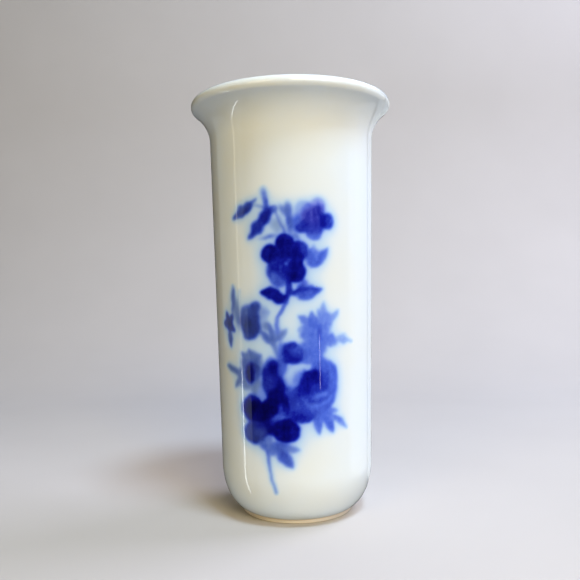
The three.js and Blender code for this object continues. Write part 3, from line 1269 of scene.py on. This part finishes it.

# The spray's parts from the lowest to the topmost, each with how much grey is laid over its thin cobalt. The
# grey on these left-hand parts is partly the print's own slate and partly painted reflection of the glaze's
# sheen.
LAYERS: tuple[tuple[Touches, float], ...] = (
    (LEFT_LEAVES, 0.44),
    (SMALL_BLOSSOM, 0.46),
    (UPPER_LEAVES, 0.38),
    (UPPER_BLOSSOM, 0.0),
    (MAIN_STEM, 0.0),
    (PAIRED_LEAVES, 0.0),
    (DARK_BLOSSOM, 0.0),
    (SPIKY_SPRAY, 0.0),
    (LOWER_SPIKES, 0.0),
    (ROSE, 0.0),
    (ROUND_BUD, 0.0),
    (DARK_PETALS, 0.0),
    (TAIL, 0.32),
)


@dataclass(frozen=True)
class FlowerSpray:
    """The printed spray, soft where the blue ran. Lengths are in millimetres.

    A length along the sheet is one on a wall of the sheet's radius. Each mottle is a strength, a width
    and a height.
    """

    sheet_radius: float = 24.3
    along: Point = (-28.0, 22.0)
    up: Point = (6.0, 102.0)
    cell: float = 0.15
    seed: int = 7
    sharp_blur: float = 0.28
    soft_blur: float = 0.75
    sharp_share: float = 0.75
    halo_blurs: Point = (1.6, 4.5)
    halo_share: float = 0.19
    tint_blur: float = 0.6
    mottles: tuple[tuple[float, float, float], ...] = ((0.03, 0.3, 0.3), (0.04, 1.1, 1.1), (0.02, 0.3, 1.6))

    def painted(self) -> Canvas:
        """Lay every touch on a canvas.

        Returns:
            The canvas.
        """
        canvas = Canvas(self.along, self.up, self.cell, self.seed)
        # Left-hand parts are laid greyer: partly the print's own grey, partly painted reflection of the
        # glaze's sheen
        for touches, grey_and_reflection in LAYERS:
            for touch in touches:
                replace(touch, tint=touch.tint - grey_and_reflection).paint(canvas)
        return canvas

    def run(self, canvas: Canvas) -> dict[Attribute, np.ndarray]:
        """Let the blue run into what is round it, and mottle it.

        Args:
            canvas: The painted canvas.

        Returns:
            The print, as a sheet for each attribute.
        """
        sharp = canvas.soften(canvas.strength, self.sharp_blur)
        soft = canvas.soften(canvas.strength, self.soft_blur)
        halo = sum(
            self.halo_share * canvas.soften(np.clip(canvas.strength, 0, 1), blur) for blur in self.halo_blurs
        )
        mottled = 1.0
        for strength, width, height in self.mottles:
            mottled = mottled + strength * canvas.cloud(width, height)
        laid = (self.sharp_share * sharp + (1 - self.sharp_share) * soft) * mottled
        return {
            Attribute.COBALT: laid + halo * (1 - np.clip(laid, 0, 1)),
            Attribute.TINT: canvas.soften(canvas.tint, self.tint_blur),
        }

    def lay_on(self, mesh: bpy.types.Mesh, outline: Outline) -> None:
        """Write the print's strengths on the vertices of the outer skin.

        Args:
            mesh: The glaze's mesh.
            outline: The vase's outline, which tells the outer skin from the inside.
        """
        canvas = self.painted()
        places = np.empty(len(mesh.vertices) * 3)
        mesh.vertices.foreach_get("co", places)
        x, y, z = places.reshape(-1, 3).T
        outer = np.hypot(x, y) > outline.outer_radius(z) - outline.wall / 2
        turned = (np.arctan2(y, x) - FRONT + math.pi) % FULL_TURN - math.pi
        for attribute, sheet in self.run(canvas).items():
            values = canvas.read(sheet, turned * self.sheet_radius, z / MM) * outer
            layer = mesh.attributes.new(attribute.value, "FLOAT", "POINT")
            layer.data.foreach_set("value", values.astype(np.float32))


# Finishes

GLASS_IOR = 1.5
WHITE_PORCELAIN = "E2EEF5"

# Noise with a fine grain, for Bench.noise
FINE = {"detail": 3.0, "roughness": 0.6}


@dataclass(frozen=True)
class Finish:
    """A procedural finish: a shader whose colour, roughness and small relief vary over the surface.

    Widths, spacings and heights are in metres. The roughness goes from its least value up by its spread.
    """

    name: str
    roughness: float
    roughness_spread: float

    def material(self) -> bpy.types.Material:
        """Build the finish.

        Returns:
            The material.
        """
        material = bpy.data.materials.new(self.name)
        material.use_nodes = True
        material.node_tree.nodes.clear()
        bench = Bench(material.node_tree)
        shader = bench.add("ShaderNodeBsdfPrincipled", None, self.shader_inputs(bench))
        bench.add("ShaderNodeOutputMaterial", None, {"Surface": shader["BSDF"]})
        return material

    def rough(self, noise: Value) -> Value:
        """Vary the roughness by a noise."""
        return self.roughness + noise * self.roughness_spread

    def shader_inputs(self, bench: Bench) -> dict[str, Any]:
        """Give the shader's sockets their constants and links.

        Args:
            bench: A bench on the material's tree.

        Returns:
            What each socket takes, by its name.
        """
        raise NotImplementedError


@dataclass(frozen=True)
class PrintedGlaze(Finish):
    """Clear glaze over white porcelain and the cobalt print."""

    name: str = "clear glaze over cobalt print"
    roughness: float = 0.30
    roughness_spread: float = 0.12
    roughness_width: float = 5 * MM
    white: Colour = linear(WHITE_PORCELAIN)
    warm_white: Colour = linear("E4EDEE")
    drift_width: float = 22 * MM
    drift_range: Point = (0.3, 0.7)
    cobalt: tuple[tuple[float, str], ...] = (
        (0.0, WHITE_PORCELAIN),
        (0.10, "BCDAFA"),
        (0.22, "9EC0F7"),
        (0.42, "6C8DEC"),
        (0.56, "4A6AE0"),
        (0.72, "263CBE"),
        (0.86, "0E18A0"),
        (1.0, "04077A"),
        (1.14, "01025A"),
        (1.3, "00003C"),
    )
    first_trace: float = 0.06
    grain_width: float = 0.35 * MM
    grain_depth: float = 0.16
    violet_tint: Colour = (1.8, 0.88, 0.86)
    # Slate laid where the tint is below zero: the print's own grey, and on the spray's left-hand parts partly
    # painted reflection of the glaze's sheen
    slate: Colour = linear("42587A")
    speck: Colour = linear("8A8276")
    speck_spacing: float = 7 * MM
    speck_rim: Point = (0.03, 0.015)
    speck_chance: Point = (0.80, 0.82)
    speck_strength: float = 0.6
    wide_ripple: float = 9 * MM
    wide_ripple_share: float = 0.7
    fine_ripple: float = 1.6 * MM
    fine_ripple_share: float = 0.05
    ripple_height: float = 0.1 * MM
    ripple_strength: float = 0.35
    gloss_roughness: float = 0.03

    def shader_inputs(self, bench: Bench) -> dict[str, Any]:
        """Give the shader's sockets their constants and links.

        Args:
            bench: A bench on the material's tree.

        Returns:
            What each socket takes, by its name.
        """
        place = bench.object_place()
        drift = bench.noise(place, self.drift_width).between(*self.drift_range)
        white = bench.mix(drift, self.white, self.warm_white)
        printed = self.printed(bench, place, white)
        specks = bench.spots(place, self.speck_spacing, self.speck_rim, self.speck_chance)
        ripple = bench.noise(place, self.wide_ripple, detail=1) * self.wide_ripple_share
        ripple = ripple + bench.noise(place, self.fine_ripple) * self.fine_ripple_share
        return {
            "Base Color": bench.mix(specks * self.speck_strength, printed, self.speck),
            "Roughness": self.rough(bench.noise(place, self.roughness_width)),
            "IOR": GLASS_IOR,
            "Specular IOR Level": 0.0,
            "Coat Weight": 1.0,
            "Coat Roughness": self.gloss_roughness,
            "Coat IOR": GLASS_IOR,
            "Normal": bench.bump(ripple, self.ripple_strength, self.ripple_height),
        }

    def printed(self, bench: Bench, place: Value, white: Value) -> Value:
        """Lay the print over the white.

        Args:
            bench: A bench on the material's tree.
            place: The coordinates, in metres.
            white: The unprinted porcelain's colour.

        Returns:
            The colour under the glaze.
        """
        read = {a: bench.add("ShaderNodeAttribute", {"attribute_name": a.value})["Fac"] for a in Attribute}
        grain = bench.noise(place, self.grain_width, **FINE)
        pooled = read[Attribute.COBALT] * (1 - self.grain_depth / 2 + grain * self.grain_depth)
        strongest, _ = self.cobalt[-1]
        stops = [(at / strongest, linear(code)) for at, code in self.cobalt]
        blue = bench.add("ShaderNodeValToRGB", {"stops": stops}, {"Fac": pooled / strongest})["Color"]
        tint = read[Attribute.TINT]
        blue = bench.mix(tint.between(0.0, 1.0), blue, self.violet_tint, "MULTIPLY")
        # Mixing in slate lays the print's grey, partly painted reflection on the spray's left-hand parts
        blue = bench.mix(tint.between(0.0, -1.0), blue, self.slate)
        return bench.mix(1 - pooled.between(0.0, self.first_trace), blue, white)


@dataclass(frozen=True)
class BarePorcelain(Finish):
    """Unglazed fired porcelain, toasted at the glaze's edge and rubbed where it stands."""

    name: str = "bare fired porcelain"
    roughness: float = 0.78
    roughness_spread: float = 0.14
    clay: Colour = linear("E6DFD2")
    toasted: Colour = linear("CFB89A")
    toasted_heights: Point = (0.7 * MM, 1.3 * MM)
    toasted_share: float = 0.6
    rubbed: Colour = linear("B9B2A6")
    rubbed_heights: Point = (0.25 * MM, 0.0)
    rubbed_share: float = 0.6
    scuff_width: float = 1.1 * MM
    scuff_range: Point = (0.5, 0.7)
    grain_width: float = 0.18 * MM
    grain_height: float = 0.05 * MM
    grain_strength: float = 0.6

    def shader_inputs(self, bench: Bench) -> dict[str, Any]:
        """Give the shader's sockets their constants and links.

        Args:
            bench: A bench on the material's tree.

        Returns:
            What each socket takes, by its name.
        """
        place = bench.object_place()
        height = bench.add("ShaderNodeSeparateXYZ", None, {0: place})["Z"]
        near_glaze = height.between(*self.toasted_heights) * self.toasted_share
        colour = bench.mix(near_glaze, self.clay, self.toasted)
        scuffs = bench.noise(place, self.scuff_width, detail=4, roughness=0.65).between(*self.scuff_range)
        standing = height.between(*self.rubbed_heights) * scuffs * self.rubbed_share
        grain = bench.noise(place, self.grain_width, **FINE)
        return {
            "Base Color": bench.mix(standing, colour, self.rubbed),
            "Roughness": self.rough(grain),
            "Normal": bench.bump(grain, self.grain_strength, self.grain_height),
        }


@dataclass(frozen=True)
class PooledGlaze(Finish):
    """The thicker clear glaze in the recess under the base."""

    name: str = "pooled base glaze"
    roughness: float = 0.10
    roughness_spread: float = 0.10
    roughness_width: float = 3 * MM
    white: Colour = linear("E8ECEC")
    cool: Colour = linear("DDE7EA")
    pool_width: float = 7 * MM
    pool_range: Point = (0.35, 0.65)
    pinhole: Colour = linear("9A948A")
    pinhole_spacing: float = 3.2 * MM
    pinhole_rim: Point = (0.07, 0.03)
    pinhole_chance: Point = (0.7, 0.72)
    pinhole_share: float = 0.7
    pinhole_depth: float = 0.4
    wave_width: float = 4 * MM
    wave_height: float = 0.12 * MM
    wave_strength: float = 0.5
    gloss: float = 0.6
    gloss_roughness: float = 0.05

    def shader_inputs(self, bench: Bench) -> dict[str, Any]:
        """Give the shader's sockets their constants and links.

        Args:
            bench: A bench on the material's tree.

        Returns:
            What each socket takes, by its name.
        """
        place = bench.object_place()
        pool = bench.noise(place, self.pool_width).between(*self.pool_range)
        pinholes = bench.spots(place, self.pinhole_spacing, self.pinhole_rim, self.pinhole_chance)
        colour = bench.mix(pool, self.white, self.cool)
        waves = bench.noise(place, self.wave_width, detail=1) - pinholes * self.pinhole_depth
        return {
            "Base Color": bench.mix(pinholes * self.pinhole_share, colour, self.pinhole),
            "Roughness": self.rough(bench.noise(place, self.roughness_width)),
            "IOR": GLASS_IOR,
            "Coat Weight": self.gloss,
            "Coat Roughness": self.gloss_roughness,
            "Normal": bench.bump(waves, self.wave_strength, self.wave_height),
        }


@dataclass(frozen=True)
class StudioPaper(Finish):
    """The pale paper that the vase stands on."""

    name: str = "studio paper"
    roughness: float = 0.8
    roughness_spread: float = 0.1
    pale: Colour = linear("C4C1BC")
    shade: Colour = linear("BEBBB6")
    shade_width: float = 60 * MM
    fibre_width: float = 1.2 * MM
    fibre_height: float = 0.02 * MM
    fibre_strength: float = 0.1

    def shader_inputs(self, bench: Bench) -> dict[str, Any]:
        """Give the shader's sockets their constants and links.

        Args:
            bench: A bench on the material's tree.

        Returns:
            What each socket takes, by its name.
        """
        place = bench.object_place()
        fibres = bench.noise(place, self.fibre_width, **FINE)
        return {
            "Base Color": bench.mix(bench.noise(place, self.shade_width), self.pale, self.shade),
            "Roughness": self.rough(fibres),
            "Normal": bench.bump(fibres, self.fibre_strength, self.fibre_height),
        }


# The vase's pieces


@dataclass
class VasePiece:
    """A piece of the vase that stands for one node of the frame."""

    outline: Outline
    name: str
    node: str
    slot: Slot
    finish: Finish
    turn: Turn

    def stretches(self) -> list[Stretch]:
        """Draw the piece's closed outline."""
        raise NotImplementedError

    def build(self) -> bpy.types.Object:
        """Turn the piece and give it its finish."""
        return TurnedForm(self.name, self.stretches(), self.turn).make(self.finish.material())

    def dress(self, piece: bpy.types.Object) -> None:
        """Add what the piece carries besides its finish."""

    def place(self) -> bpy.types.Object:
        """Build the piece, dress it and let it ride with the vase.

        Returns:
            The finished piece.
        """
        piece = self.build()
        self.dress(piece)
        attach(piece, "root")
        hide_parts(self.node)
        log.info("%s: %d faces for node %s", piece.name, len(piece.data.polygons), self.node)
        return piece


@dataclass
class PorcelainBody(VasePiece):
    """The cast wall, floor and foot ring."""

    name: str = "fired_body"
    node: str = "porcelain_body"
    slot: Slot = Slot.BARE_PORCELAIN
    finish: Finish = field(default_factory=BarePorcelain)
    turn: Turn = field(default_factory=Turn)
    foot: FootRing = field(default_factory=FootRing)
    rows: GlazeRows = GlazeRows(heel=12, printed=2, plain=2, flare=10, lip=6, well=10, floor=3)

    def stretches(self) -> list[Stretch]:
        """Draw the recess, the rounded foot ring and the skin under the glaze.

        Returns:
            The stretches, in order.
        """
        foot, depth, glaze = self.foot, self.outline.recess_depth, self.outline.glaze
        outer = self.outline.foot_radius
        flat_outer = outer - foot.bevel
        flat_inner = flat_outer - foot.bearing
        recess = flat_inner - foot.draft
        lean = Vector((foot.draft, -depth)).normalized()
        recess_end = (recess - foot.recess_round, depth)
        side_start = tuple(Vector((recess, depth)) + lean * foot.recess_round)
        side_end = tuple(Vector((flat_inner, 0)) - lean * foot.inner_round)
        flat_start = (flat_inner + foot.inner_round, 0.0)
        bevel_centre = (flat_outer, foot.bevel)
        return [
            LineStretch("recess", (0.0, depth), recess_end, foot.recess_rows),
            LineStretch("recess corner", recess_end, side_start, foot.corner_rows),
            LineStretch("ring inside", side_start, side_end, foot.side_rows),
            LineStretch("ring inner edge", side_end, flat_start, foot.corner_rows),
            LineStretch("bearing face", flat_start, (flat_outer, 0.0), foot.bearing_rows),
            ArcStretch.round("ring outer edge", bevel_centre, foot.bevel, (-math.pi / 2, 0), foot.bevel_rows),
            LineStretch("ring outside", (outer, foot.bevel), self.outline.glaze_edge(glaze), foot.side_rows),
            *self.outline.glazed(glaze, self.rows),
        ]


@dataclass
class GlazeCoat(VasePiece):
    """The glaze over the outside, the lip and the inside, with the print under it."""

    name: str = "printed_glaze_coat"
    node: str = "glaze_coat"
    slot: Slot = Slot.PRINTED_GLAZE
    finish: Finish = field(default_factory=PrintedGlaze)
    turn: Turn = Turn(FRONT - math.radians(62), math.radians(110), front_columns=141, back_columns=68)
    outer_rows: GlazeRows = GlazeRows(heel=44, printed=253, plain=8, flare=16, lip=7, well=12, floor=6)
    inner_rows: GlazeRows = GlazeRows(heel=8, printed=1, plain=1, flare=6, lip=3, well=6, floor=2)
    edge_rows: int = 2

    def stretches(self) -> list[Stretch]:
        """Draw the skin against the body, the edge that joins the skins, and the outer skin.

        Returns:
            The stretches, in order.
        """
        outline, glaze = self.outline, self.outline.glaze
        edge = LineStretch("glaze edge", outline.glaze_edge(glaze), outline.glaze_edge(0.0), self.edge_rows)
        return [*outline.glazed(glaze, self.inner_rows), edge, *outline.glazed(0.0, self.outer_rows)]

    def dress(self, piece: bpy.types.Object) -> None:
        """Lay the print on the outer skin."""
        FlowerSpray().lay_on(piece.data, self.outline)


@dataclass
class BasePool(VasePiece):
    """The pool of glaze in the recess, with a rounded edge."""

    name: str = "base_glaze_pool"
    node: str = "base_glaze"
    slot: Slot = Slot.BASE_GLAZE
    finish: Finish = field(default_factory=PooledGlaze)
    turn: Turn = field(default_factory=Turn)
    back_rows: int = 8
    edge_rows: int = 6
    face_rows: int = 10

    def stretches(self) -> list[Stretch]:
        """Draw the pool's face on the body, its rounded edge and its open face.

        Returns:
            The stretches, in order.
        """
        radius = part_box(self.node)[1].x
        top, thick = self.outline.recess_depth, self.outline.glaze
        edge_centre = (radius - thick, top)
        return [
            LineStretch("pool on body", (0.0, top), (radius, top), self.back_rows),
            ArcStretch.round("pool edge", edge_centre, thick, (0, -math.pi / 2), self.edge_rows),
            LineStretch("pool face", (radius - thick, top - thick), (0.0, top - thick), self.face_rows),
        ]


# The studio

COOL_LIGHT: Colour = (0.60, 0.77, 1.0)
SOFT_BLUE_LIGHT: Colour = (0.77, 0.78, 1.0)
PALE_BLUE_LIGHT: Colour = (0.9, 0.97, 1.0)


@dataclass(frozen=True)
class Softbox:
    """A rectangular lamp that faces a point near the vase."""

    name: str
    at: tuple[float, float, float]
    size: Point
    watts: float
    colour: Colour
    towards: tuple[float, float, float] = (0.0, 0.0, 0.065)
    only_gloss: bool = False

    def place(self) -> None:
        """Hang the lamp."""
        lamp = bpy.data.lights.new(self.name, "AREA")
        lamp.shape = "RECTANGLE"
        lamp.size, lamp.size_y = self.size
        lamp.energy = self.watts
        lamp.color = self.colour
        holder = bpy.data.objects.new(self.name, lamp)
        aim = Vector(self.towards) - Vector(self.at)
        holder.matrix_world = Matrix.Translation(self.at) @ aim.to_track_quat("-Z", "Y").to_matrix().to_4x4()
        holder.visible_camera = False
        holder.visible_diffuse = not self.only_gloss
        bpy.context.scene.collection.objects.link(holder)


@dataclass(frozen=True)
class GlossCard(Softbox):
    """A card or a strip that only shows in the gloss."""

    only_gloss: bool = True


@dataclass(frozen=True)
class Camera:
    """The camera, level with the vase's middle and turned a little, as the photograph is."""

    distance: float = 214.7 * MM
    height: float = 68.87 * MM
    yaw: float = 0.00549
    pitch: float = -0.00367
    roll: float = -0.01954
    focal_pixels: float = 680.0
    image_pixels: float = 580.0
    sensor: float = 36.0
    nearest: float = 5 * MM

    def place(self) -> None:
        """Set the camera up as the scene's own."""
        lens = bpy.data.cameras.new("photo_view")
        lens.sensor_width = self.sensor
        lens.lens = self.focal_pixels / self.image_pixels * self.sensor
        lens.clip_start = self.nearest
        holder = bpy.data.objects.new("photo_view", lens)
        turned = (
            Matrix.Rotation(self.roll, 3, "Y")
            @ Matrix.Rotation(-self.pitch, 3, "X")
            @ Matrix.Rotation(-self.yaw, 3, "Z")
        )
        right, forward, up = turned
        axes = Matrix((right, up, -forward)).transposed().to_4x4()
        holder.matrix_world = Matrix.Translation((0, -self.distance, self.height)) @ axes
        bpy.context.scene.collection.objects.link(holder)
        bpy.context.scene.camera = holder


@dataclass
class Studio:
    """Pale seamless paper, soft lamps and the camera. Lengths are in metres."""

    half_width: float = 0.55
    front: float = -0.17
    hang: float = 0.25
    front_curve: float = 0.03
    back: float = 0.45
    curve: float = 0.25
    curve_steps: int = 24
    top: float = 1.1
    gap: float = 0.02 * MM
    glow: Colour = (1.0, 0.82, 0.5)
    glow_strength: float = 0.042
    walls: Colour = (0.52, 0.51, 0.54)
    walls_strength: float = 1.0
    camera: Camera = field(default_factory=Camera)
    lamps: tuple[Softbox, ...] = (
        Softbox("key", (0.16, -0.246, 0.755), (0.16, 0.16), 4.3, COOL_LIGHT),
        Softbox("front", (0.168, -0.627, 0.44), (0.30, 0.24), 3.1, (1.0, 0.81, 0.48)),
        Softbox("front left", (-0.36, -0.56, 0.36), (0.30, 0.24), 0.88, (1.0, 0.74, 0.34)),
        Softbox("front right", (0.42, -0.52, 0.44), (0.30, 0.24), 1.45, SOFT_BLUE_LIGHT),
        Softbox("back right", (0.5, 0.202, 0.586), (0.40, 0.34), 4.1, SOFT_BLUE_LIGHT),
        GlossCard("left card", (-0.45, 0.07, 0.13), (0.49, 0.26), 0.24, (0.70, 0.86, 1.0), (0.0, 0.07, 0.13)),
        GlossCard(
            name="low left card",
            at=(-0.45, -0.091, -0.1),
            size=(0.194, 0.2),
            watts=0.09,
            colour=(0.74, 0.84, 1.0),
            towards=(0.0, -0.091, -0.1),
        ),
        GlossCard("right card", (0.45, 0.18, 0.05), (0.45, 0.42), 0.5, PALE_BLUE_LIGHT, (0.0, 0.18, 0.05)),
        GlossCard("back card", (0.24, 0.42, 0.05), (0.24, 0.42), 0.25, PALE_BLUE_LIGHT, (0.0, 0.0, 0.05)),
        GlossCard("left strip", (-0.34, -0.045, 0.16), (0.012, 0.36), 0.034, (1.0, 0.9, 0.7)),
        GlossCard("low left strip", (-0.34, -0.045, -0.1), (0.012, 0.2), 0.06, (0.9, 0.95, 1.0)),
        GlossCard("right strip", (0.275, -0.39, -0.02), (0.006, 0.05), 0.008, (1.0, 0.88, 0.94)),
    )

    def paper(self) -> bpy.types.Object:
        """Let the paper hang down at its front edge, pass under the vase and rise behind it.

        Returns:
            The paper.
        """
        turns = [math.pi / 2 * i / self.curve_steps for i in range(self.curve_steps + 1)]
        bend, curve = self.front_curve, self.curve
        front, foot = self.front + bend, self.back - curve
        profile = [(self.front, -self.hang)]
        profile += [(front - bend * math.cos(t), bend * (math.sin(t) - 1) - self.gap) for t in turns]
        profile += [(foot + curve * math.sin(t), curve * (1 - math.cos(t)) - self.gap) for t in turns]
        profile.append((self.back, self.top))
        vertices = [(x, y, z) for y, z in profile for x in (-self.half_width, self.half_width)]
        faces = [(2 * i, 2 * i + 1, 2 * i + 3, 2 * i + 2) for i in range(len(profile) - 1)]
        mesh = bpy.data.meshes.new("studio_paper")
        mesh.from_pydata(vertices, [], faces)
        mesh.shade_smooth()
        mesh.materials.append(StudioPaper().material())
        sheet = bpy.data.objects.new("studio_paper", mesh)
        sheet.visible_glossy = False
        bpy.context.scene.collection.objects.link(sheet)
        return sheet

    def room(self) -> bpy.types.World:
        """Make the room, whose light is dim and which looks pale past the paper's edges.

        Returns:
            The world.
        """
        world = bpy.data.worlds.new("room")
        world.use_nodes = True
        world.node_tree.nodes.clear()
        bench = Bench(world.node_tree)
        looked_at = bench.add("ShaderNodeLightPath")["Is Camera Ray"]
        glow = {"Color": self.glow, "Strength": self.glow_strength}
        walls = {"Color": self.walls, "Strength": self.walls_strength}
        shades = [bench.add("ShaderNodeBackground", None, shade)["Background"] for shade in (glow, walls)]
        shown = bench.add("ShaderNodeMixShader", None, {"Fac": looked_at, 1: shades[0], 2: shades[1]})
        bench.add("ShaderNodeOutputWorld", None, {"Surface": shown["Shader"]})
        return world

    def place(self) -> None:
        """Set the studio up round the vase."""
        self.paper()
        for lamp in self.lamps:
            lamp.place()
        self.camera.place()
        bpy.context.scene.world = self.room()
        bpy.context.scene.view_settings.view_transform = "Standard"


def main() -> None:
    """Build the vase's pieces and the studio round them."""
    logging.basicConfig(level=logging.INFO)
    outline = Outline.from_frame()
    Studio().place()
    for piece in (PorcelainBody(outline), GlazeCoat(outline), BasePool(outline)):
        piece.place()


if __name__ == "__main__":
    main()
